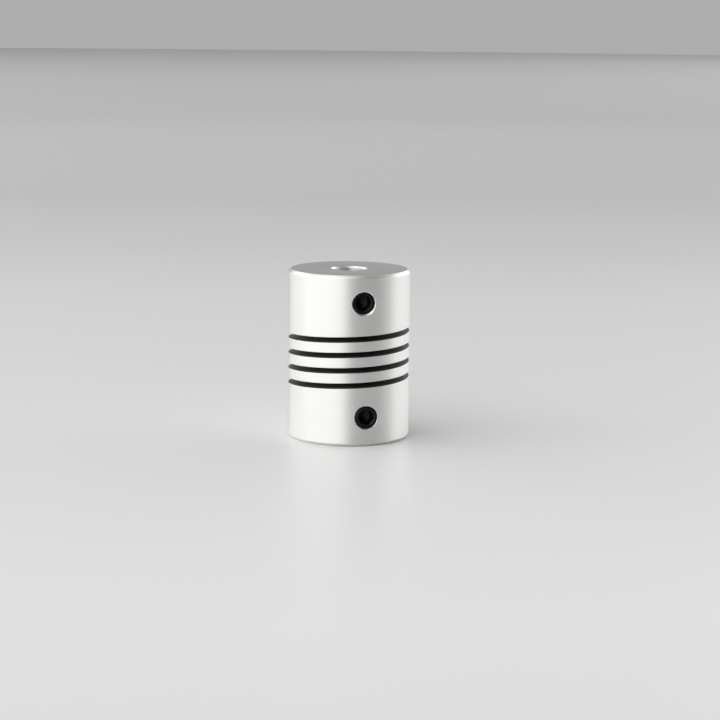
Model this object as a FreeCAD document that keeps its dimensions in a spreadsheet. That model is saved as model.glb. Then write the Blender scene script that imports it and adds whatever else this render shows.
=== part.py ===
import FreeCAD, Part
import math
import os
import Sketcher

# Flexible shaft coupling: one turned bar whose middle is sawn into a helical spring, with
# two set screws in the hub at each end. Millimetres.
# Frame: origin at the centre of the lower end face, +Z up the bore, -Y towards the front set
# screws. An azimuth is counted from -Y towards +X.

DIMENSIONS = [
    ("body_diameter", 18.0, "outside of the turned bar"),
    ("body_length", 25.0, "overall length"),
    ("end_chamfer", 0.43, "chamfer on the outer rim of both end faces"),
    ("upper_bore_diameter", 5.0, "bore for the thin shaft"),
    ("lower_bore_diameter", 8.0, "bore for the thick shaft"),
    ("bore_chamfer", 0.25, "chamfer at both bore mouths"),
    ("drill_point_angle", 118.0, "included angle left where the wide bore stops"),
    ("slot_width", 0.8, "thickness of the slitting saw"),
    ("slot_pitch", 2.25, "rise of the slot in one turn"),
    ("slot_turns", 3.65, "turns cut right through the wall"),
    ("slot_middle_angle", 180.0, "side on which the slot has its own middle"),
    ("slot_middle_drop", 0.07, "middle of the slot below mid length"),
    ("slot_edge_break", 0.06, "chamfer along the slot's outer edges"),
    ("saw_radius", 20.0, "radius of the slitting saw"),
    ("saw_breakthrough", 0.2, "depth of the saw past the wall of the narrow bore"),
    ("saw_overlap", 0.05, "overlap of the run-outs with the slot"),
    ("saw_clearance", 1.0, "reach of every cutter past the outer surface"),
    ("tap_drill_diameter", 3.3, "set-screw hole before its thread is cut"),
    ("hole_edge_break", 0.15, "chamfer at the mouths of the set-screw holes"),
    ("hub_screw_angle", 90.0, "angle between the two set screws of a hub"),
    ("upper_screw_inset", 4.05, "upper end face to the upper screw axes"),
    ("upper_screw_angle", 0.0, "side of the upper front screw"),
    ("upper_screw_recess", 0.5, "upper screw faces below the outer surface"),
    ("lower_screw_inset", 4.23, "lower end face to the lower screw axes"),
    ("lower_screw_angle", 3.3, "side of the lower front screw"),
    ("lower_screw_recess", 0.08, "lower screw faces below the outer surface"),
    ("screw_clearance", 0.03, "gap all round between screw core and tapping hole"),
    ("screw_length", 4.0, "length of a set screw"),
    ("screw_face_chamfer", 0.1, "chamfer at the driven end"),
    ("cup_diameter", 2.0, "rim of the cup point"),
    ("cup_angle", 118.0, "included angle of the cup"),
    ("socket_across_flats", 2.0, "hexagon socket"),
    ("socket_depth", 1.6, "depth of the hexagon"),
    ("pilot_margin", 0.05, "pilot hole inside the flats, all round"),
    ("socket_countersink", 0.1, "countersink outside the corners, all round"),
    ("upper_front_socket_angle", 10.0, "turn of this screw's hexagon as it was tightened"),
    ("upper_side_socket_angle", 35.0, "the same for the upper side screw"),
    ("lower_front_socket_angle", 22.0, "the same for the lower front screw"),
    ("lower_side_socket_angle", 48.0, "the same for the lower side screw"),
]

SCREWS = {
    "upper_front_set_screw": ("upper", "front", "upper_front_socket_angle"),
    "upper_side_set_screw": ("upper", "side", "upper_side_socket_angle"),
    "lower_front_set_screw": ("lower", "front", "lower_front_socket_angle"),
    "lower_side_set_screw": ("lower", "side", "lower_side_socket_angle"),
}

OUTER = "dims.body_diameter / 2"
MIDDLE = "dims.body_length / 2"
SLOT_MIDDLE = "(dims.body_length / 2 - dims.slot_middle_drop)"
EDGE_SAMPLES = 9
ON_SURFACE = 0.001


def fill_sheet(doc):
    """The driving dimensions, one row each: what it is, and its value under an alias."""
    sheet = doc.addObject("Spreadsheet::Sheet", "dims")
    for row, (alias, value, meaning) in enumerate(DIMENSIONS, start=1):
        sheet.set(f"A{row}", meaning)
        sheet.set(f"B{row}", str(value))
        sheet.setAlias(f"B{row}", alias)
    doc.recompute()


def origin_feature(body, role):
    """One of the body's own origin planes or axes."""
    return next(f for f in body.Origin.OriginFeatures if f.Role == role)


def new_sketch(body, name, role, offset=None):
    """A sketch on an origin plane, moved off it by an expression if one is given."""
    sketch = body.newObject("Sketcher::SketchObject", name)
    sketch.AttachmentSupport = (origin_feature(body, role), [""])
    sketch.MapMode = "FlatFace"
    if offset:
        sketch.setExpression("AttachmentOffset", offset)
    return sketch


def bind(sketch, constraint, name, expression):
    """Add a driving constraint, name it and tie it to the sheet."""
    index = sketch.addConstraint(constraint)
    sketch.renameConstraint(index, name)
    sketch.setExpression(f"Constraints.{name}", expression)


def draw_outline(sketch, corners):
    """A closed outline of straight sides; every corner is a name and two coordinates."""
    places = []
    for _, across, along in corners:
        x = float(sketch.evalExpression(across))
        y = float(sketch.evalExpression(along))
        places.append(FreeCAD.Vector(x, y, 0))
    count = len(corners)
    for side in range(count):
        sketch.addGeometry(Part.LineSegment(places[side], places[(side + 1) % count]))
    for side, (name, across, along) in enumerate(corners):
        sketch.addConstraint(Sketcher.Constraint("Coincident", side, 2, (side + 1) % count, 1))
        place = places[side]
        bind(sketch, Sketcher.Constraint("DistanceX", -1, 1, side, 1, place.x), f"{name}_x", across)
        bind(sketch, Sketcher.Constraint("DistanceY", -1, 1, side, 1, place.y), f"{name}_y", along)


def revolve(body, kind, name, corners):
    """Turn an outline drawn on the XZ plane once round +Z, as solid or as cut."""
    sketch = new_sketch(body, f"{name}_outline", "XZ_Plane")
    draw_outline(sketch, corners)
    feature = body.newObject(f"PartDesign::{kind}", name)
    feature.Profile = (sketch, [""])
    feature.ReferenceAxis = (sketch, ["V_Axis"])
    feature.Angle = 360.0
    body.Tip = feature
    return feature


def turn_blank(body):
    """The bar as it leaves the lathe: chamfered rims and two bores that meet at mid length."""
    narrow = "dims.upper_bore_diameter / 2"
    wide = "dims.lower_bore_diameter / 2"
    top = "dims.body_length"
    shoulder = f"({wide} - {narrow}) / tan(dims.drill_point_angle / 2 * 1 deg)"
    revolve(body, "Revolution", "turned_blank", [
        ("lower_mouth", f"{wide} + dims.bore_chamfer", "0"),
        ("lower_face", f"{OUTER} - dims.end_chamfer", "0"),
        ("lower_rim", OUTER, "dims.end_chamfer"),
        ("upper_rim", OUTER, f"{top} - dims.end_chamfer"),
        ("upper_face", f"{OUTER} - dims.end_chamfer", top),
        ("upper_mouth", f"{narrow} + dims.bore_chamfer", top),
        ("upper_bore", narrow, f"{top} - dims.bore_chamfer"),
        ("narrow_end", narrow, MIDDLE),
        ("wide_end", wide, f"{MIDDLE} - {shoulder}"),
        ("lower_bore", wide, "dims.bore_chamfer"),
    ])


def screw_height(hub):
    """Height of a hub's screw axes above the lower end face."""
    if hub == "upper":
        return "dims.body_length - dims.upper_screw_inset"
    return "dims.lower_screw_inset"


def drill_hub(doc, body, hub):
    """Two radial tapping holes, from the outside into the bore, at the hub's screw spacing."""
    turned = f"placement(vector(0; 0; 0); rotation(vector(0; 1; 0); dims.{hub}_screw_angle))"
    sketch = new_sketch(body, f"{hub}_hole_circle", "XZ_Plane", turned)
    height = float(sketch.evalExpression(screw_height(hub)))
    diameter = float(sketch.evalExpression("dims.tap_drill_diameter"))
    centre = FreeCAD.Vector(0, height, 0)
    sketch.addGeometry(Part.Circle(centre, FreeCAD.Vector(0, 0, 1), diameter / 2))
    sketch.addConstraint(Sketcher.Constraint("PointOnObject", 0, 3, -2))
    bind(sketch, Sketcher.Constraint("DistanceY", -1, 1, 0, 3, height), "height", screw_height(hub))
    bind(sketch, Sketcher.Constraint("Diameter", 0, diameter), "diameter", "dims.tap_drill_diameter")
    hole = body.newObject("PartDesign::Pocket", f"{hub}_front_hole")
    hole.Profile = (sketch, [""])
    hole.Reversed = True
    hole.setExpression("Length", f"{OUTER} + dims.saw_clearance")
    pair = body.newObject("PartDesign::PolarPattern", f"{hub}_hole_pair")
    pair.Originals = [hole]
    pair.Axis = (origin_feature(body, "Z_Axis"), [""])
    pair.Mode = "Extent"
    pair.Occurrences = 2
    pair.setExpression("Angle", "dims.hub_screw_angle")
    body.Tip = pair
    doc.recompute()
    return pair


def on_outer_wall(edge, radius):
    """Whether an edge runs along the body's outer wall."""
    points = edge.discretize(EDGE_SAMPLES)
    return all(abs(math.hypot(point.x, point.y) - radius) < ON_SURFACE for point in points)


def break_hole_edges(doc, body, base):
    """A fine chamfer where each screw hole meets the outer wall: on edges that rise and bend."""
    radius = float(base.evalExpression(OUTER))
    mouths = []
    for index, edge in enumerate(base.Shape.Edges, start=1):
        rise = edge.BoundBox.ZLength
        bends = edge.Length > rise + ON_SURFACE
        if rise > ON_SURFACE and bends and on_outer_wall(edge, radius):
            mouths.append(f"Edge{index}")
    chamfer = body.newObject("PartDesign::Chamfer", "hole_edge_breaks")
    chamfer.Base = (base, mouths)
    chamfer.setExpression("Size", "dims.hole_edge_break")
    body.Tip = chamfer
    doc.recompute()


def saw_section(sketch, inner, depth, flare):
    """The slot's section beside the bore axis, widened at 45 degrees outside the depth."""
    half = "dims.slot_width / 2"
    reach = f"{OUTER} + dims.saw_clearance"
    spread = f"{half} + dims.saw_clearance + {flare}"
    draw_outline(sketch, [
        ("inner_low", inner, f"-({half})"),
        ("outer_low", depth, f"-({half})"),
        ("reach_low", reach, f"-({spread})"),
        ("reach_high", reach, spread),
        ("outer_high", depth, half),
        ("inner_high", inner, half),
    ])


def cut_slot(doc, body):
    """The helical slot, then a saw run-out at each of its ends."""
    narrower = "min(dims.upper_bore_diameter; dims.lower_bore_diameter) / 2"
    floor = f"{narrower} - dims.saw_breakthrough"
    rise = "dims.slot_pitch * dims.slot_turns / 2"
    sweep = "dims.slot_turns * 180"
    lean = "atan(dims.slot_pitch / (pi * dims.body_diameter)) / 1 deg"

    first = f"dims.slot_middle_angle - {sweep} - 90"
    start = f"{SLOT_MIDDLE} - {rise}"
    place = f"placement(vector(0; {start}; 0); rotation(vector(0; 1; 0); {first}))"
    sketch = new_sketch(body, "slot_section", "XZ_Plane", place)
    saw_section(sketch, floor, f"{OUTER} - dims.slot_edge_break", "dims.slot_edge_break")
    slot = body.newObject("PartDesign::SubtractiveHelix", "helical_slot")
    slot.Profile = (sketch, [""])
    slot.ReferenceAxis = (origin_feature(body, "Z_Axis"), [""])
    slot.Mode = "pitch-turns-angle"
    slot.setExpression("Pitch", "dims.slot_pitch")
    slot.setExpression("Turns", "dims.slot_turns")
    body.Tip = slot
    doc.recompute()

    for name, side in (("lower_run_out", -1), ("upper_run_out", 1)):
        height = f"{SLOT_MIDDLE} + {side} * {rise}"
        facing = f"dims.slot_middle_angle + {side} * {sweep} - 90"
        place = f"placement(vector(0; 0; {height}); rotation({facing}; 0; {lean}))"
        sketch = new_sketch(body, f"{name}_saw", "XY_Plane", place)
        draw_half_saw(sketch, floor, side)
        run_out = body.newObject("PartDesign::Pocket", name)
        run_out.Profile = (sketch, [""])
        run_out.SideType = "Symmetric"
        run_out.setExpression("Length", "dims.slot_width")
        body.Tip = run_out
        doc.recompute()


def draw_half_saw(sketch, floor, side):
    """Half of the saw's disc, past the end of the slot; the disc's rim touches the floor."""
    radius = float(sketch.evalExpression("dims.saw_radius"))
    centre = float(sketch.evalExpression(floor)) + radius
    back = -side * float(sketch.evalExpression("dims.saw_overlap"))
    half_chord = (radius ** 2 - back ** 2) ** 0.5
    low = FreeCAD.Vector(centre - half_chord, back, 0)
    high = FreeCAD.Vector(centre + half_chord, back, 0)
    crown = FreeCAD.Vector(centre, side * radius, 0)
    sketch.addGeometry(Part.Arc(low, crown, high))
    sketch.addGeometry(Part.LineSegment(low, high))
    first, last = (2, 1) if side > 0 else (1, 2)
    sketch.addConstraint(Sketcher.Constraint("Coincident", 0, first, 1, 1))
    sketch.addConstraint(Sketcher.Constraint("Coincident", 0, last, 1, 2))
    sketch.addConstraint(Sketcher.Constraint("Horizontal", 1))
    sketch.addConstraint(Sketcher.Constraint("PointOnObject", 0, 3, -1))
    bind(sketch, Sketcher.Constraint("DistanceX", -1, 1, 0, 3, centre), "saw_centre",
         f"{floor} + dims.saw_radius")
    bind(sketch, Sketcher.Constraint("Radius", 0, radius), "saw_radius", "dims.saw_radius")
    bind(sketch, Sketcher.Constraint("DistanceY", -1, 1, 1, 1, back), "overlap",
         f"{-side} * dims.saw_overlap")


def make_body(doc):
    """The one-piece coupling body."""
    body = doc.addObject("PartDesign::Body", "coupling_body")
    turn_blank(body)
    doc.recompute()
    drill_hub(doc, body, "upper")
    drilled = drill_hub(doc, body, "lower")
    break_hole_edges(doc, body, drilled)
    cut_slot(doc, body)
    return body


def make_set_screw(doc, name, hub, place, socket_angle):
    """A hexagon-socket set screw with a cup point, its tip at its own origin, facing +Z."""
    body = doc.addObject("PartDesign::Body", name)
    core = "(dims.tap_drill_diameter / 2 - dims.screw_clearance)"
    cup = "dims.cup_diameter / 2"
    top = "dims.screw_length"
    flat = "dims.socket_across_flats / 2"
    pilot = f"({flat} - dims.pilot_margin)"
    corner = "dims.socket_across_flats / sqrt(3)"
    sink = f"({corner} + dims.socket_countersink)"
    bottom = f"{top} - dims.socket_depth"

    revolve(body, "Revolution", f"{name}_blank", [
        ("cup_apex", "0", f"{cup} / tan(dims.cup_angle / 2 * 1 deg)"),
        ("cup_rim", cup, "0"),
        ("tip", core, f"{core} - {cup}"),
        ("shoulder", core, f"{top} - dims.screw_face_chamfer"),
        ("face", f"{core} - dims.screw_face_chamfer", top),
        ("centre", "0", top),
    ])
    doc.recompute()
    revolve(body, "Groove", f"{name}_pilot", [
        ("apex", "0", f"{bottom} - {pilot} / tan(dims.drill_point_angle / 2 * 1 deg)"),
        ("foot", pilot, bottom),
        ("neck", pilot, f"{top} - ({sink} - {pilot})"),
        ("rim", sink, top),
        ("middle", "0", top),
    ])
    doc.recompute()
    face = f"placement(vector(0; 0; {top}); rotation(dims.{socket_angle}; 0; 0))"
    sketch = new_sketch(body, f"{name}_hexagon", "XY_Plane", face)
    draw_outline(sketch, [
        (f"corner{k}", f"{corner} * cos({60 * k} deg)", f"{corner} * sin({60 * k} deg)")
        for k in range(6)
    ])
    socket = body.newObject("PartDesign::Pocket", f"{name}_socket")
    socket.Profile = (sketch, [""])
    socket.setExpression("Length", "dims.socket_depth")
    body.Tip = socket
    doc.recompute()

    turn = f"dims.{hub}_screw_angle"
    if place == "side":
        turn = f"{turn} + dims.hub_screw_angle"
    facing = f"({turn} - 90)"
    reach = f"({OUTER} - dims.{hub}_screw_recess - {top})"
    across = f"{reach} * cos({facing} * 1 deg)"
    along = f"{reach} * sin({facing} * 1 deg)"
    tip = f"vector({across}; {along}; {screw_height(hub)})"
    body.setExpression("Placement", f"placement({tip}; rotation({facing}; 90; 0))")
    return body


def check_document(doc, parts):
    """Stop before anything is written if an object failed or a solid isn't sound."""
    for item in doc.Objects:
        if "Invalid" in item.State or "Error" in item.State:
            raise RuntimeError(f"{item.Label} did not compute: {item.State}")
    for part in parts:
        if part.Shape.isNull() or not part.Shape.isValid() or len(part.Shape.Solids) != 1:
            raise RuntimeError(f"{part.Label} is not one valid solid")


def main():
    doc = FreeCAD.newDocument("flexible_coupling")
    fill_sheet(doc)
    parts = [make_body(doc)]
    for name, (hub, place, socket_angle) in SCREWS.items():
        parts.append(make_set_screw(doc, name, hub, place, socket_angle))
    doc.recompute()
    check_document(doc, parts)
    os.makedirs("parts", exist_ok=True)
    for part in parts:
        part.Shape.exportStep(f"parts/{part.Label}.step")
        box = part.Shape.BoundBox
        print(part.Label, round(part.Shape.Volume, 3), len(part.Shape.Faces), box)


main()
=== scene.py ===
# %% [markdown]
# # A helical-beam shaft coupling
# The real thing is a turned aluminium bar, bored from both ends and sawn into a spring at its
# middle, with socket set screws in both hubs. The frame gives its size and place. Here each
# piece gets the mesh and the finish that it has on a bench: fine turned lines, broken edges,
# real threads and black oxide. The frame comes first, so that nothing needs fitting later.

# %% Load the frame
import math
import bmesh
import bpy
import numpy as np
from mathutils import Matrix, Vector


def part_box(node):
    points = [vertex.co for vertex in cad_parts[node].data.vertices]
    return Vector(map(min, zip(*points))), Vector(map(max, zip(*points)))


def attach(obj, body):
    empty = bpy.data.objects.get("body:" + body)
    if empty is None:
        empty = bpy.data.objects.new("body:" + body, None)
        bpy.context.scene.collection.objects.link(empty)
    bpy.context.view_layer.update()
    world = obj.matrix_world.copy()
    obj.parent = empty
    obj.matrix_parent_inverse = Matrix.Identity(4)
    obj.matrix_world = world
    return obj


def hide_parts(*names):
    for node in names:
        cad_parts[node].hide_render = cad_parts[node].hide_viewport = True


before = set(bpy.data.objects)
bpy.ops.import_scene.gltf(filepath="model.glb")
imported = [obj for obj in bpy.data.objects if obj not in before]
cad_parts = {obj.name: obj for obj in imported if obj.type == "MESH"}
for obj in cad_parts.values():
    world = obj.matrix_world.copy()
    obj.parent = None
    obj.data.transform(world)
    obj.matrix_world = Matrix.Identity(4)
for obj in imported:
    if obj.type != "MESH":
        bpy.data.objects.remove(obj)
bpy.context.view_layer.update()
MM = 0.001
body_low, body_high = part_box("coupling_body")
print("body", [round((high - low) / MM, 2) for low, high in zip(body_low, body_high)], "mm")

# %% [markdown]
# ## Sizes
# Every size is written once, in millimetres. An azimuth is an angle round the bore, counted from
# -Y towards +X, so that 0 faces the upper front screw. Each screw has its hub, its place there in
# quarter turns, and the turn of its hexagon: a screw stops where it holds, not where it lines up.

# %% Sizes of the body
BODY_RADIUS = 9.0
BODY_LENGTH = 25.0
END_CHAMFER = 0.43
NARROW_RADIUS = 2.5
WIDE_RADIUS = 4.0
BORE_CHAMFER = 0.25
DRILL_HALF_ANGLE = math.radians(59)
EDGE_ROUND = 0.05
SLOT_WIDTH = 0.8
SLOT_PITCH = 2.25
SLOT_TURNS = 3.65
SLOT_MIDDLE_AZIMUTH = 180.0
SAW_RADIUS = 20.0
SAW_FLOOR = NARROW_RADIUS - 0.2
MIDDLE = BODY_LENGTH / 2
SLOT_MIDDLE = MIDDLE - 0.07
print("slot rises", round(SLOT_PITCH * SLOT_TURNS, 2), "mm")

# %% Sizes of the screws
THREAD_PITCH = 0.7
THREAD_MINOR = 1.65
THREAD_MAJOR = 2.0
THREAD_PLAY = 0.04
SCREW_LENGTH = 4.0
SOCKET_FLATS = 2.0
SOCKET_DEPTH = 1.6
CUP_RADIUS = 1.0
UPPER_HUB = {
    "height": BODY_LENGTH - 4.05,
    "azimuth": 0.0,
    "recess": 0.5,
    "bore": NARROW_RADIUS,
    "thread_start": -40.0,
}
LOWER_HUB = {
    "height": 4.23,
    "azimuth": 3.3,
    "recess": 0.08,
    "bore": WIDE_RADIUS,
    "thread_start": 170.0,
}
SCREWS = {
    "upper_front_set_screw": (UPPER_HUB, 0, 10.0),
    "upper_side_set_screw": (UPPER_HUB, 1, 35.0),
    "lower_front_set_screw": (LOWER_HUB, 0, 22.0),
    "lower_side_set_screw": (LOWER_HUB, 1, 48.0),
}
print("screws", len(SCREWS))


# %% [markdown]
# ## Meshes from rings
# A turned bar, a saw's sweep, a thread and a hexagon socket all have one thing in common: they
# are rows of points, each row joined to the next. Screw and extrude tools could make the plain
# ones, but one helper that joins rows makes them all, and leaves nothing to chance: the points
# stand exactly where the formula puts them.

# %% A mesh from a grid of points
def mesh_from_rows(name, rows, close_across, close_along=False):
    """rows is an array (row, point, xyz) in millimetres. Joins neighbours, caps open ends."""
    rows = np.asarray(rows, float)
    count, width = rows.shape[:2]
    points = [tuple(point * MM) for row in rows for point in row]
    faces = []
    for i in range(count if close_along else count - 1):
        j = (i + 1) % count
        for k in range(width if close_across else width - 1):
            n = (k + 1) % width
            faces.append((i * width + k, i * width + n, j * width + n, j * width + k))
    if close_across and not close_along:
        for row, order in ((0, -1), (count - 1, 1)):
            centre = len(points)
            points.append(tuple(rows[row].mean(0) * MM))
            for k in range(width):
                a, b = row * width + k, row * width + (k + 1) % width
                faces.append((a, b, centre) if order > 0 else (b, a, centre))
    mesh = bpy.data.meshes.new(name)
    mesh.from_pydata(points, [], faces)
    mesh.update()
    return mesh


def outward(mesh):
    """Turn every face to look outwards, which booleans and renders both need."""
    work = bmesh.new()
    work.from_mesh(mesh)
    bmesh.ops.remove_doubles(work, verts=work.verts, dist=1e-9)
    bmesh.ops.recalc_face_normals(work, faces=work.faces)
    work.to_mesh(mesh)
    work.free()
    return mesh


def new_object(name, mesh):
    """An object for a mesh, in the scene."""
    made = bpy.data.objects.new(name, mesh)
    bpy.context.scene.collection.objects.link(made)
    return made


# %% Round the corners of an outline
def rounded(corners, radius, steps=2):
    """A closed outline whose corners are arcs of the given radius."""
    corners = [Vector(c) for c in corners]
    points = []
    for i, corner in enumerate(corners):
        before = (corners[i - 1] - corner).normalized()
        after = (corners[(i + 1) % len(corners)] - corner).normalized()
        half = before.angle(after) / 2
        reach = radius / math.tan(half)
        centre = corner + (before + after).normalized() * (radius / math.sin(half))
        first, last = corner + before * reach - centre, corner + after * reach - centre
        for step in range(steps + 1):
            points.append(centre + first.slerp(last, step / steps).normalized() * radius)
    return points


# %% [markdown]
# ## The turned blank
# On the lathe the bar gets its diameter, its two chamfers and its bores. A lathe tool never
# leaves a perfectly sharp corner, and the anodising tank rounds it a little more, so every
# corner of the outline is a small arc. That thin arc is what catches the light.

# %% Turn the blank
BLANK_SEGMENTS = 288


def turn(name, outline, segments):
    """Spin a closed outline of (radius, height) once round the bore."""
    angles = np.linspace(0, 2 * math.pi, segments, endpoint=False)
    rows = [[(r * math.cos(a), r * math.sin(a), z) for r, z in outline] for a in angles]
    return outward(mesh_from_rows(name, rows, close_across=True, close_along=True))


shoulder = (WIDE_RADIUS - NARROW_RADIUS) / math.tan(DRILL_HALF_ANGLE)
blank_outline = rounded([
    (WIDE_RADIUS + BORE_CHAMFER, 0),
    (BODY_RADIUS - END_CHAMFER, 0),
    (BODY_RADIUS, END_CHAMFER),
    (BODY_RADIUS, BODY_LENGTH - END_CHAMFER),
    (BODY_RADIUS - END_CHAMFER, BODY_LENGTH),
    (NARROW_RADIUS + BORE_CHAMFER, BODY_LENGTH),
    (NARROW_RADIUS, BODY_LENGTH - BORE_CHAMFER),
    (NARROW_RADIUS, MIDDLE),
    (WIDE_RADIUS, MIDDLE - shoulder),
    (WIDE_RADIUS, BORE_CHAMFER),
], EDGE_ROUND)
blank = new_object("blank", turn("blank", blank_outline, BLANK_SEGMENTS))
print("blank outline", len(blank_outline), "points")

# %% [markdown]
# ## The helical slot
# A slitting saw plunges to just past the bore, the bar turns and feeds, and the saw backs out.
# So the slot is a helix of constant depth with a run-out at each end, where its floor is an arc
# of the saw. The cutter here is that sweep: one row of points for every three degrees. Its sides
# widen just under the surface, which breaks the slot's edges as a deburring brush does.

# %% Sweep the slot
SLOT_STEP = 3.0
SLOT_REACH = BODY_RADIUS + 0.2
SAW_CENTRE = SAW_FLOOR + SAW_RADIUS
SAW_LEAN = SLOT_PITCH / (2 * math.pi * BODY_RADIUS)
THROUGH_HALF = SLOT_TURNS * 180.0
BREAK_START = BODY_RADIUS - EDGE_ROUND
BREAK_TURN = BODY_RADIUS - 0.35 * EDGE_ROUND
GENTLE_FACET = 0.41
STEEP_FACET = 2.0
RUN_OUT_RADII = (5.8, 6.6, 7.3, 7.9, 8.4, 8.75, 9.0, 9.15)


def slot_half_width(r):
    """Half the slot's width at a radius: straight, then two facets of the broken edge."""
    half = SLOT_WIDTH / 2
    if r <= BREAK_START:
        return half
    if r <= BREAK_TURN:
        return half + (r - BREAK_START) * GENTLE_FACET
    return half + (BREAK_TURN - BREAK_START) * GENTLE_FACET + (r - BREAK_TURN) * STEEP_FACET


def run_out_floor(delta):
    """Radius of the saw's rim at an angle past the end of the slot."""
    side = SAW_CENTRE * math.sin(delta)
    return SAW_CENTRE * math.cos(delta) - math.sqrt(SAW_RADIUS ** 2 - side ** 2)


def slot_row(azimuth):
    """The cutter's section at an azimuth counted along the slot from its middle."""
    delta = max(0.0, abs(azimuth) - THROUGH_HALF)
    side = math.copysign(1.0, azimuth)
    end = max(-THROUGH_HALF, min(THROUGH_HALF, azimuth))
    floor = run_out_floor(math.radians(delta)) if delta else SAW_FLOOR
    radii = [floor, max(BREAK_START, floor + 0.002), max(BREAK_TURN, floor + 0.004), SLOT_REACH]
    turned = math.radians(azimuth + SLOT_MIDDLE_AZIMUTH - 90)
    row = []
    for sign in (-1, 1):
        part = []
        for r in radii:
            height = SLOT_MIDDLE + SLOT_PITCH * end / 360
            height += side * SAW_LEAN * r * math.sin(math.radians(delta))
            height += sign * slot_half_width(r)
            part.append((r * math.cos(turned), r * math.sin(turned), height))
        row += part if sign > 0 else part[::-1]
    return row


def run_out_angle(r):
    """The angle past the end at which the saw's rim stands at a radius."""
    return math.degrees(math.acos((r * r + SAW_CENTRE ** 2 - SAW_RADIUS ** 2) / (2 * r * SAW_CENTRE)))


def slot_azimuths():
    """Even steps along the full slot and the run-outs, finer where the saw leaves the bar."""
    full = list(np.linspace(0, THROUGH_HALF, round(THROUGH_HALF / SLOT_STEP) + 1))
    even = np.arange(SLOT_STEP, run_out_angle(RUN_OUT_RADII[0]), SLOT_STEP)
    out = [THROUGH_HALF + delta for delta in even]
    out += [THROUGH_HALF + run_out_angle(r) for r in RUN_OUT_RADII]
    half = full[1:] + out
    return [-a for a in reversed(half)] + [0.0] + half


slot_rows = [slot_row(a) for a in slot_azimuths()]
slot_cutter = new_object("slot_cutter", outward(mesh_from_rows("slot_cutter", slot_rows, True)))
print("slot cutter rows", len(slot_rows))

# %% [markdown]
# ## Threads
# An M4 thread has a pitch of 0.7 mm and flanks at 60 degrees. A thread could be a bump, but the
# hole's first turns show beside the recessed screws, so it is real shape: the radius of a fine
# grid follows the thread's profile, which moves along by one pitch in each turn.

# %% The thread's profile
THREAD_SEGMENTS = 60
THREAD_ROWS_PER_PITCH = 12
ROOT_HALF = 0.0625
FLANK = 0.2886
THREAD_START_DEPTH = 0.08


def thread_radius(phase):
    """Radius of the tapped hole at a phase in pitches; the groove's root is at phase 0."""
    away = np.abs((phase + 0.5) % 1.0 - 0.5)
    climb = np.clip((away - ROOT_HALF) / FLANK, 0.0, 1.0)
    return THREAD_MAJOR + (THREAD_MINOR - THREAD_MAJOR) * climb


def thread_phase(along, angles, hub):
    """Pitches from the groove's root; the groove meets the surface at the hub's own angle."""
    start = (BODY_RADIUS - THREAD_START_DEPTH) / THREAD_PITCH - hub["thread_start"] / 360
    return along / THREAD_PITCH - angles / (2 * math.pi) - start


def smooth_step(value, low, high):
    """0 below low, 1 above high, and a soft slope between."""
    share = np.clip((value - low) / (high - low), 0.0, 1.0)
    return share * share * (3 - 2 * share)


def radial_points(along, across, angles, hub, place):
    """Points round a screw axis: along it from the bore axis outwards, and across it."""
    turned = math.radians(hub["azimuth"] + 90.0 * place - 90)
    out = Vector((math.cos(turned), math.sin(turned), 0))
    side = Vector((-math.sin(turned), math.cos(turned), 0))
    sideways = across * np.cos(angles)
    upwards = across * np.sin(angles) + hub["height"]
    return np.stack([
        along * out.x + sideways * side.x,
        along * out.y + sideways * side.y,
        upwards + 0 * along,
    ], axis=-1)


# %% Tap the holes
HOLE_BREAK = 0.15
THREAD_FADE = (0.02, 0.12)
thread_angles = np.linspace(0, 2 * math.pi, THREAD_SEGMENTS, endpoint=False)


def hole_cutter(name, hub, place):
    """A tap's shape from inside the bore to outside the bar, its mouth's edge broken."""
    start = hub["bore"] - 1.2
    count = round((BODY_RADIUS - start) / THREAD_PITCH * THREAD_ROWS_PER_PITCH)
    along_rows = list(np.linspace(start, BODY_RADIUS - HOLE_BREAK, count))
    along_rows += [BODY_RADIUS - 0.4 * HOLE_BREAK, BODY_RADIUS + 0.15]
    rows = []
    for along in along_rows:
        sag = BODY_RADIUS - np.sqrt(BODY_RADIUS ** 2 - (THREAD_MINOR * np.cos(thread_angles)) ** 2)
        follow = smooth_step(along, BODY_RADIUS - 2.0, BODY_RADIUS - 0.6)
        here = along - sag * follow
        depth = BODY_RADIUS - along
        radius = thread_radius(thread_phase(here, thread_angles, hub))
        shown = smooth_step(depth, *THREAD_FADE)
        radius = THREAD_MINOR + (radius - THREAD_MINOR) * shown
        if depth < HOLE_BREAK:
            flare = 0.41 * 0.6 * HOLE_BREAK if depth > 0 else 0.25 * HOLE_BREAK + 2 * 0.16
            radius = radius + flare
        rows.append(radial_points(here, radius, thread_angles, hub, place))
    return new_object(name, outward(mesh_from_rows(name, rows, True)))


hole_cutters = [hole_cutter(f"tap_{name}", hub, place) for name, (hub, place, _) in SCREWS.items()]
print("tap rows", len(hole_cutters[0].data.vertices) // THREAD_SEGMENTS)

# %% [markdown]
# ## Cut the blank
# The exact boolean is slower than the fast one, but it copes with faces that nearly touch, such
# as the slot's wall against the shoulder between the bores. The cutters go once they have cut.

# %% Saw and tap the body
def cut(target, cutter):
    """Take one cutter away from the target's mesh, and drop the cutter."""
    step = target.modifiers.new("cut", "BOOLEAN")
    step.operation = "DIFFERENCE"
    step.solver = "EXACT"
    step.object = cutter
    graph = bpy.context.evaluated_depsgraph_get()
    result = bpy.data.meshes.new_from_object(target.evaluated_get(graph))
    target.modifiers.remove(step)
    old, target.data = target.data, result
    bpy.data.meshes.remove(old)
    spent = cutter.data
    bpy.data.objects.remove(cutter)
    bpy.data.meshes.remove(spent)


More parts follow.
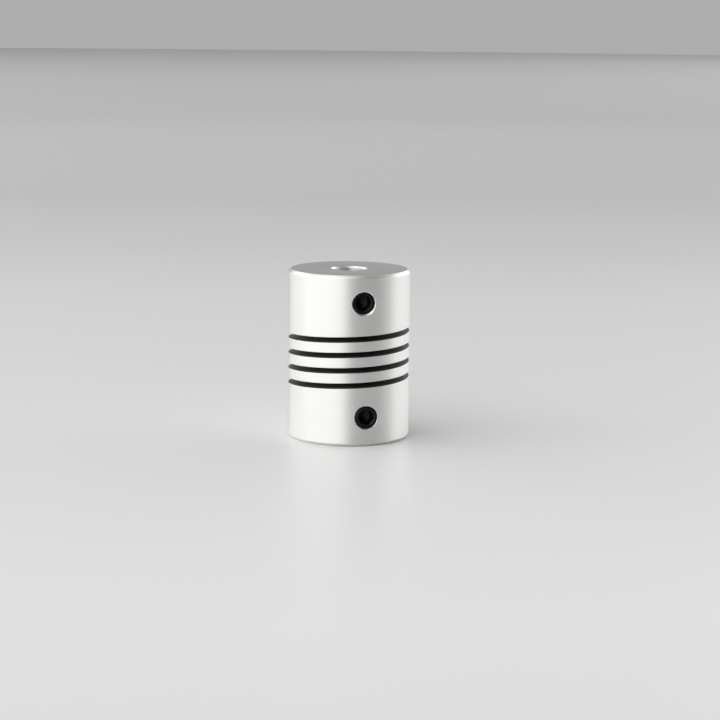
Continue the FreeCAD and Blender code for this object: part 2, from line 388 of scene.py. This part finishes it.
for cutter in [slot_cutter, *hole_cutters]:
    cut(blank, cutter)
body = blank
body.name = body.data.name = "turned_body"
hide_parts("coupling_body")
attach(body, "root")
print("body faces", len(body.data.polygons))


# %% [markdown]
# ## Smooth shading
# The bar's round face is made of thin flat strips. Shading may smooth them, but a boolean leaves
# odd corners along the slots, and averaged normals would ripple there. The true normal of a
# cylinder is known, it points straight out, so it is written onto those faces by hand.

# %% Normals of the round faces
SHARP_ANGLE = math.radians(32)
UPRIGHT = 0.02
ON_CYLINDER = 0.012


def smooth_by_angle(mesh, angle):
    """Smooth shading everywhere but on edges that turn by more than the angle."""
    mesh.shade_smooth()
    mesh.set_sharp_from_angle(angle=angle)


def write_cylinder_normals(mesh, radii):
    """Exact outward or inward normals on faces that lie on a cylinder round the bore."""
    normals = [Vector(n.vector) for n in mesh.corner_normals]
    set_by_hand = 0
    for face in mesh.polygons:
        if abs(face.normal.z) > UPRIGHT:
            continue
        corners = [mesh.vertices[v].co for v in face.vertices]
        for radius in radii:
            if all(abs(c.xy.length / MM - radius) < ON_CYLINDER for c in corners):
                inward = face.normal.xy.dot(face.center.xy) < 0
                for loop, corner in zip(face.loop_indices, corners):
                    out = Vector((corner.x, corner.y, 0)).normalized()
                    normals[loop] = -out if inward else out
                set_by_hand += 1
    mesh.normals_split_custom_set(normals)
    return set_by_hand


smooth_by_angle(body.data, SHARP_ANGLE)
on_cylinders = write_cylinder_normals(body.data, (BODY_RADIUS, WIDE_RADIUS, NARROW_RADIUS))
print("faces on the cylinders", on_cylinders)

# %% [markdown]
# ## The set screws
# A set screw is a stub of thread with a hexagon socket broached into one end and a cup turned
# into the other. Seen end on, its look comes from the socket: a countersink whose edge scallops
# where it meets the six flats, deep walls, and a cone at the bottom left by the pilot drill. Each
# is one stack of rings round its axis, so the socket's corners line up with the thread's grid.

# %% Build one screw
FACE_RADIUS = 1.52
FACE_ROUND = 0.05
COUNTERSINK = 1.28
PILOT_RADIUS = 0.92
CORNER_ROUND = 0.04
SCREW_SHARP_ANGLE = math.radians(38)


def hexagon_radius(angles):
    """Distance from the axis to a hexagon's wall, its corners slightly rounded."""
    flat = SOCKET_FLATS / 2
    third = math.pi / 3
    local = (angles + third / 2) % third - third / 2
    sharp = flat / np.cos(local)
    corner = flat / math.cos(third / 2)
    return np.minimum(sharp, corner - CORNER_ROUND)


def build_screw(name, hub, place, socket_turn):
    """A threaded stub, its driven face recessed by the hub's amount."""
    face = BODY_RADIUS - hub["recess"]
    tip = face - SCREW_LENGTH
    ring = np.ones(THREAD_SEGMENTS)
    socket_angles = thread_angles - math.radians(socket_turn)
    hexagon = hexagon_radius(socket_angles)
    crest = THREAD_MAJOR - THREAD_PLAY
    rows = [(tip + CUP_RADIUS / math.tan(DRILL_HALF_ANGLE), 0.02 * ring)]
    rows.append((tip + 0.03, (CUP_RADIUS - 0.04) * ring))
    rows.append((tip, (CUP_RADIUS + 0.02) * ring))
    count = round(SCREW_LENGTH / THREAD_PITCH * THREAD_ROWS_PER_PITCH)
    for along in np.linspace(tip + 0.03, face - FACE_ROUND, count):
        radius = thread_radius(thread_phase(along, thread_angles, hub)) - THREAD_PLAY
        limit = min(CUP_RADIUS + 0.03 + (along - tip), FACE_RADIUS + (face - along), crest)
        rows.append((along, np.minimum(radius, limit)))
    rows.append((face - 0.3 * FACE_ROUND, (FACE_RADIUS + 0.02) * ring))
    rows.append((face, (FACE_RADIUS - 0.02) * ring))
    rows.append((face, (COUNTERSINK + 0.03) * ring))
    rows.append((face - 0.02, COUNTERSINK * ring))
    rows.append((face - (COUNTERSINK - hexagon) * 0.9, hexagon + 0.02))
    rows.append((face - (COUNTERSINK - hexagon) * 0.9 - 0.04, hexagon))
    rows.append((face - SOCKET_DEPTH, hexagon))
    rows.append((face - SOCKET_DEPTH - 0.02, PILOT_RADIUS * ring))
    rows.append((face - SOCKET_DEPTH - PILOT_RADIUS / math.tan(DRILL_HALF_ANGLE), 0.02 * ring))
    grid = [radial_points(along + 0 * ring, across, thread_angles, hub, place) for along, across in rows]
    screw = new_object(f"{name}_threaded", outward(mesh_from_rows(name, grid, True)))
    smooth_by_angle(screw.data, SCREW_SHARP_ANGLE)
    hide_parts(name)
    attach(screw, "root")
    return screw


screws = [build_screw(name, *how) for name, how in SCREWS.items()]
print("screw faces", len(screws[0].data.polygons))


# %% [markdown]
# ## Shader maths as plain expressions
# A material is a graph of nodes. Wiring each one by hand hides the idea, so a small class wraps
# a socket: adding, subtracting or multiplying two of them adds the Math node that does it.

# %% Wrap a socket
class Value:
    """A number that a node gives; arithmetic on it makes Math nodes."""

    def __init__(self, material, socket):
        self.material = material
        self.socket = socket

    def math(self, operation, *others):
        return self.material.node("ShaderNodeMath", {"operation": operation}, [self, *others])

    def __add__(self, other):
        return self.math("ADD", other)

    def __sub__(self, other):
        return self.math("SUBTRACT", other)

    def __mul__(self, other):
        return self.math("MULTIPLY", other)

    def __rsub__(self, other):
        return self.material.node("ShaderNodeMath", {"operation": "SUBTRACT"}, [other, self])

    __radd__ = __add__
    __rmul__ = __mul__


class Material:
    """A node material; node() adds any node, its settings first, then its inputs."""

    def __init__(self, name):
        self.data = bpy.data.materials.new(name)
        self.data.use_nodes = True
        self.tree = self.data.node_tree
        self.shader = self.tree.nodes["Principled BSDF"]

    def node(self, kind, settings, inputs, output=0):
        made = self.tree.nodes.new(kind)
        for key, value in settings.items():
            if key == "stops":
                self.set_stops(made.color_ramp, value)
            else:
                setattr(made, key, value)
        pairs = inputs.items() if isinstance(inputs, dict) else enumerate(inputs)
        for key, value in pairs:
            if isinstance(value, Value):
                self.tree.links.new(value.socket, made.inputs[key])
            else:
                made.inputs[key].default_value = value
        return Value(self, made.outputs[output])

    def set_stops(self, ramp, stops):
        while len(ramp.elements) < len(stops):
            ramp.elements.new(0.5)
        for element, (position, shade) in zip(ramp.elements, stops):
            element.position = position
            element.color = (shade, shade, shade, 1) if isinstance(shade, float) else (*shade, 1)

    def constants(self, **values):
        for name, value in values.items():
            self.shader.inputs[name.replace("_", " ")].default_value = value

    def link(self, value, socket):
        self.tree.links.new(value.socket, self.shader.inputs[socket])


# %% [markdown]
# ## Clear-anodised, fine-turned aluminium
# The tool leaves a fine thread of marks, about ten to a millimetre, right round the bar and in
# rings on its ends. They spread a reflection along the bar but hardly across it, so the shader is
# anisotropic, turned a quarter so that it spreads along the axis. The marks themselves are a
# one-dimensional noise of height plus radius: rings on the ends and hoops on the side. Inside the
# slots the colour drops to near black, which is painted shade, on sawn faces that are also rougher.

# %% Aluminium
SAWN_SHADED_START = BODY_RADIUS - 0.08
SAWN_SHADED_HALF_HEIGHT = 5.6
# Painted shade: the colour of the slots' sawn walls and floor, far darker than the metal.
SLOT_PAINTED_SHADE_TONE = (0.18, 0.175, 0.165)
TURNED_TONES = [(0.25, (0.83, 0.827, 0.805)), (0.75, (0.87, 0.867, 0.847))]
# Painted shade: the end faces get a much darker colour than the round side.
FACED_PAINTED_SHADE_TONES = [(0.25, (0.575, 0.572, 0.558)), (0.75, (0.615, 0.612, 0.598))]


def aluminium(name, tones, dullness, spread):
    """dullness is the base roughness, and spread is how far one way it blurs more than the other."""
    made = Material(name)
    place = made.node("ShaderNodeTexCoord", {}, [], output="Object")
    x, y, z = (made.node("ShaderNodeSeparateXYZ", {}, [place], output=axis) for axis in "XYZ")
    radius = (x * x + y * y).math("SQRT")
    feed = (z + radius) * (1 / MM)
    fine = made.node("ShaderNodeTexNoise", {"noise_dimensions": "1D"},
                     {"W": feed * 9.0, "Scale": 1.0, "Detail": 2.0, "Roughness": 0.6})
    broad = made.node("ShaderNodeTexNoise", {"noise_dimensions": "1D"},
                      {"W": feed * 1.7, "Scale": 1.0, "Detail": 3.0, "Roughness": 0.6})
    grain = made.node("ShaderNodeTexNoise", {}, {"Vector": place, "Scale": 9000.0, "Detail": 2.0})
    # The mask picks the slots' sawn faces: it darkens their colour as painted shade and makes them
    # rougher.
    inside = radius.math("LESS_THAN", SAWN_SHADED_START * MM)
    in_slot = (z - SLOT_MIDDLE * MM).math("ABSOLUTE").math("LESS_THAN", SAWN_SHADED_HALF_HEIGHT * MM)
    sawn_and_shaded = inside * in_slot
    shade = (broad * 0.5 + fine * 0.5) * (1 - sawn_and_shaded)
    tone = made.node("ShaderNodeValToRGB", {"stops": [(0.0, SLOT_PAINTED_SHADE_TONE), *tones]}, [shade])
    made.link(tone, "Base Color")
    made.link(fine * 0.08 + broad * 0.04 + dullness + sawn_and_shaded * 0.14, "Roughness")
    height = fine * 0.7 + grain * 0.3
    bump = made.node("ShaderNodeBump", {}, {"Height": height, "Strength": 0.08, "Distance": 0.02 * MM})
    made.link(bump, "Normal")
    made.constants(Metallic=1.0, Anisotropic=spread, Anisotropic_Rotation=0.25)
    return made.data


body.data.materials.clear()
body.data.materials.append(aluminium("turned_aluminium", TURNED_TONES, dullness=0.36, spread=0.62))
# The ends get a copy of the metal with a less directional finish and a much darker colour; the darker
# colour is painted shade on the top and bottom faces.
body.data.materials.append(aluminium("faced_aluminium_painted_darker", FACED_PAINTED_SHADE_TONES, dullness=0.4, spread=0.15))
end_faces = 0
for face in body.data.polygons:
    height = face.center.z / MM
    if abs(face.normal.z) > 0.95 and (height < 0.05 or height > BODY_LENGTH - 0.05):
        face.material_index = 1
        end_faces += 1
print("aluminium nodes", len(body.data.materials[0].node_tree.nodes), "end faces", end_faces)

# %% [markdown]
# ## Black oxide
# Hardened steel dipped hot turns black and is oiled. It is nearly as dark as soot, a little
# blotchy, and its oil gives it a soft shine that the socket's edges catch.

# %% Black oxide steel
OXIDE_TONES = [(0.3, (0.004, 0.004, 0.0045)), (0.75, (0.013, 0.013, 0.0145))]


def black_oxide():
    made = Material("black_oxide_steel_oiled")
    place = made.node("ShaderNodeTexCoord", {}, [], output="Object")
    mottle = made.node("ShaderNodeTexNoise", {}, {"Vector": place, "Scale": 1400.0, "Detail": 4.0})
    tone = made.node("ShaderNodeValToRGB", {"stops": OXIDE_TONES}, [mottle])
    made.link(tone, "Base Color")
    made.link(mottle * 0.25 + 0.22, "Roughness")
    bump = made.node("ShaderNodeBump", {}, {"Height": mottle, "Strength": 0.15, "Distance": 0.02 * MM})
    made.link(bump, "Normal")
    made.constants(Metallic=0.6, Specular_IOR_Level=0.35)
    return made.data


steel = black_oxide()
for screw in screws:
    screw.data.materials.append(steel)
print("steel nodes", len(steel.node_tree.nodes))

# %% [markdown]
# ## Floor
# The coupling stands on a sheet of pale paper, far wider than the picture. Satin metal shows what
# stands round it, so the sheet is part of the look: the lower half of every reflection on the
# round side is this floor. Its colour is painted light: palest near the coupling and in front of
# it, as a painted pool of light, darker behind and further off, and paler again at the far rim. It
# loses its sheen with distance, because a low view would mirror the lights in it and turn it white.

# %% Pale sheet
CAMERA_AZIMUTH = -14.0
SHEET_RADII = (0.5, 15.0, 60.0, 250.0, 1000.0, 2600.0)
SHEET_THICKNESS = 1.0
SHEET_SEGMENTS = 96

sheet_angles = np.linspace(0, 2 * math.pi, SHEET_SEGMENTS, endpoint=False)
sheet_outline = [(r, 0.0) for r in SHEET_RADII] + [(r, -SHEET_THICKNESS) for r in reversed(SHEET_RADII)]
sheet_rows = [[(r * math.cos(t), r * math.sin(t), h) for t in sheet_angles] for r, h in sheet_outline]
sheet = new_object("pale_sheet", outward(mesh_from_rows("pale_sheet", sheet_rows, True)))
# Painted light in the paper's colour: a pool of light, palest near the coupling and in front, darker
# behind and further off.
PAINTED_FALLOFF_BEHIND = [(-150.0, 0.87), (0.0, 0.81), (150.0, 0.72), (240.0, 0.63), (380.0, 0.55), (800.0, 0.55)]
PAINTED_FALLOFF_AWAY = [(60.0, 0.88), (200.0, 0.76), (420.0, 0.6), (900.0, 0.52), (1700.0, 0.56), (2500.0, 0.82)]
SHEEN_NEAR = (60.0, 0.4)
SHEEN_FAR = (700.0, 1.0)


def graded(made, distance, grade):
    """Grey by a distance in metres; the stops are (millimetres, grey)."""
    start, end = grade[0][0], grade[-1][0]
    share = made.node("ShaderNodeMapRange", {}, {
        "Value": distance, "From Min": start * MM, "From Max": end * MM})
    stops = [((where - start) / (end - start), grey) for where, grey in grade]
    return made.node("ShaderNodeValToRGB", {"stops": stops}, [share])


def paper_with_painted_falloff():
    made = Material("paper_with_painted_falloff")
    place = made.node("ShaderNodeTexCoord", {}, [], output="Object")
    turn = math.radians(CAMERA_AZIMUTH)
    back = Vector((-math.sin(turn), math.cos(turn), 0))
    behind = made.node("ShaderNodeVectorMath", {"operation": "DOT_PRODUCT"}, [place, back], output="Value")
    away = made.node("ShaderNodeVectorMath", {"operation": "LENGTH"}, [place], output="Value")
    # The paper's colour is painted light, set by place ahead of or behind the coupling and by distance
    # from it.
    tone = graded(made, behind, PAINTED_FALLOFF_BEHIND).math("MINIMUM", graded(made, away, PAINTED_FALLOFF_AWAY))
    made.link(tone, "Base Color")
    sheen = made.node("ShaderNodeMapRange", {}, {
        "Value": away, "From Min": SHEEN_NEAR[0] * MM, "From Max": SHEEN_FAR[0] * MM,
        "To Min": SHEEN_NEAR[1], "To Max": SHEEN_FAR[1]})
    made.link(sheen, "Roughness")
    made.constants(Specular_IOR_Level=0.3)
    return made.data


sheet.data.materials.append(paper_with_painted_falloff())
print("sheet rows", len(sheet_rows))

# %% [markdown]
# ## Light
# Satin metal has no look of its own: it shows bright panels with darker gaps between them. A wide
# panel at the left front fills most of the bar with light, one at the left rear carries it round
# to the rim, a third lifts the right side and a weak one overhead softens the shadow. Each is
# given by its brightness, where 1 is white paper in full light, and its size gives its power.

# %% Panels of light
def from_camera_side(azimuth, elevation, distance):
    """A point round the coupling's middle; its azimuth is counted from the camera's side."""
    a, e = math.radians(azimuth + CAMERA_AZIMUTH), math.radians(elevation)
    out = Vector((math.sin(a) * math.cos(e), -math.cos(a) * math.cos(e), math.sin(e)))
    return (out * distance + Vector((0, 0, MIDDLE))) * MM


def panel(name, spot, width, height, brightness):
    """A soft rectangular light at a spot, facing the coupling."""
    light = bpy.data.lights.new(name, "AREA")
    light.shape = "RECTANGLE"
    light.size, light.size_y = width * MM, height * MM
    light.energy = brightness * math.pi * light.size * light.size_y
    made = bpy.data.objects.new(name, light)
    bpy.context.scene.collection.objects.link(made)
    made.location = spot
    made.rotation_euler = (spot - Vector((0, 0, MIDDLE * MM))).to_track_quat("Z", "Y").to_euler()
    made.visible_camera = False
    return made


panel("left_panel", from_camera_side(-45, 24, 2000), 3600, 1860, 1.33)
panel("left_rear_panel", from_camera_side(-114, 22, 2000), 2310, 1730, 1.18)
panel("right_panel", from_camera_side(125, 19, 2000), 2840, 1400, 1.27)
panel("top_panel", from_camera_side(-55, 62, 2000), 2170, 2170, 0.75)

# %% [markdown]
# ## The black card
# Between the panels the metal would see only pale room, and a round bar would look flat. So a
# black card stands on the floor at the right of the camera, as on a photographer's table. The
# bar draws it as the grey band right of its middle. It is bent round the coupling, so that its
# two ends are plain azimuths, and the camera doesn't see it, as it doesn't see the panels.

# %% Card
CARD_RADIUS = 1900.0
CARD_HEIGHT = 2600.0
CARD_FROM, CARD_TO = -2, 66
CARD_STEP = 4


def black_card():
    turns = [math.radians(a + CAMERA_AZIMUTH) for a in range(CARD_FROM, CARD_TO + 1, CARD_STEP)]
    edges = [(CARD_RADIUS * math.sin(t), -CARD_RADIUS * math.cos(t)) for t in turns]
    rows = [[(x, y, height) for height in (0, CARD_HEIGHT)] for x, y in edges]
    card = new_object("black_card", mesh_from_rows("black_card", rows, False))
    cloth = Material("black_cloth")
    cloth.constants(Base_Color=(0.01, 0.01, 0.01, 1.0), Roughness=0.9)
    card.data.materials.append(cloth.data)
    card.visible_camera = False
    return card


print("card faces", len(black_card().data.polygons))

# %% [markdown]
# ## The room
# Everywhere else stand the pale walls of a room. The world is that room: one even brightness in
# all directions, which the metal, the floor and the camera all see alike.

# %% Room
ROOM_BRIGHTNESS = 0.42
room = bpy.data.worlds.new("studio_room")
room.use_nodes = True
walls = room.node_tree.nodes["Background"]
walls.inputs["Color"].default_value = (1.0, 1.0, 1.0, 1.0)
walls.inputs["Strength"].default_value = ROOM_BRIGHTNESS
bpy.context.scene.world = room
print("room brightness", ROOM_BRIGHTNESS)

# %% [markdown]
# ## Camera
# A long lens from a little above. The numbers come from fitting the outline, the slots and the
# holes, and are written as a photographer would set them up: distance, height angle, lens, and
# the small pan, tilt and roll that put the coupling just off the middle of the frame.

# %% Camera
LENS_PIXELS = 2081.0
FRAME_PIXELS = 720.0
CAMERA_DISTANCE = 308.8
CAMERA_ELEVATION = 9.476
CAMERA_ROLL = 0.543
CAMERA_PAN = 0.312
CAMERA_TILT = -0.2255


def place_camera():
    """Aim at mid length, then roll, pan and tilt by the small measured angles."""
    data = bpy.data.cameras.new("camera")
    made = bpy.data.objects.new("camera", data)
    bpy.context.scene.collection.objects.link(made)
    data.sensor_width = 36.0
    data.lens = LENS_PIXELS / FRAME_PIXELS * data.sensor_width
    data.clip_start, data.clip_end = 0.01, 10.0
    a, e = math.radians(CAMERA_AZIMUTH), math.radians(CAMERA_ELEVATION)
    back = Vector((math.sin(a) * math.cos(e), -math.cos(a) * math.cos(e), math.sin(e)))
    right = Vector((math.cos(a), math.sin(a), 0))
    up = back.cross(right)
    aim = Matrix((right, up, back)).transposed()
    nudge = Matrix.Rotation(math.radians(CAMERA_ROLL), 3, "Z")
    nudge = nudge @ Matrix.Rotation(math.radians(-CAMERA_PAN), 3, "Y")
    nudge = nudge @ Matrix.Rotation(math.radians(CAMERA_TILT), 3, "X")
    spot = back * CAMERA_DISTANCE + Vector((0, 0, MIDDLE))
    made.matrix_world = Matrix.Translation(spot * MM) @ (aim @ nudge).to_4x4()
    bpy.context.scene.camera = made
    return made


camera = place_camera()
bpy.context.scene.view_settings.view_transform = "Standard"
print("lens", round(camera.data.lens, 1), "mm")
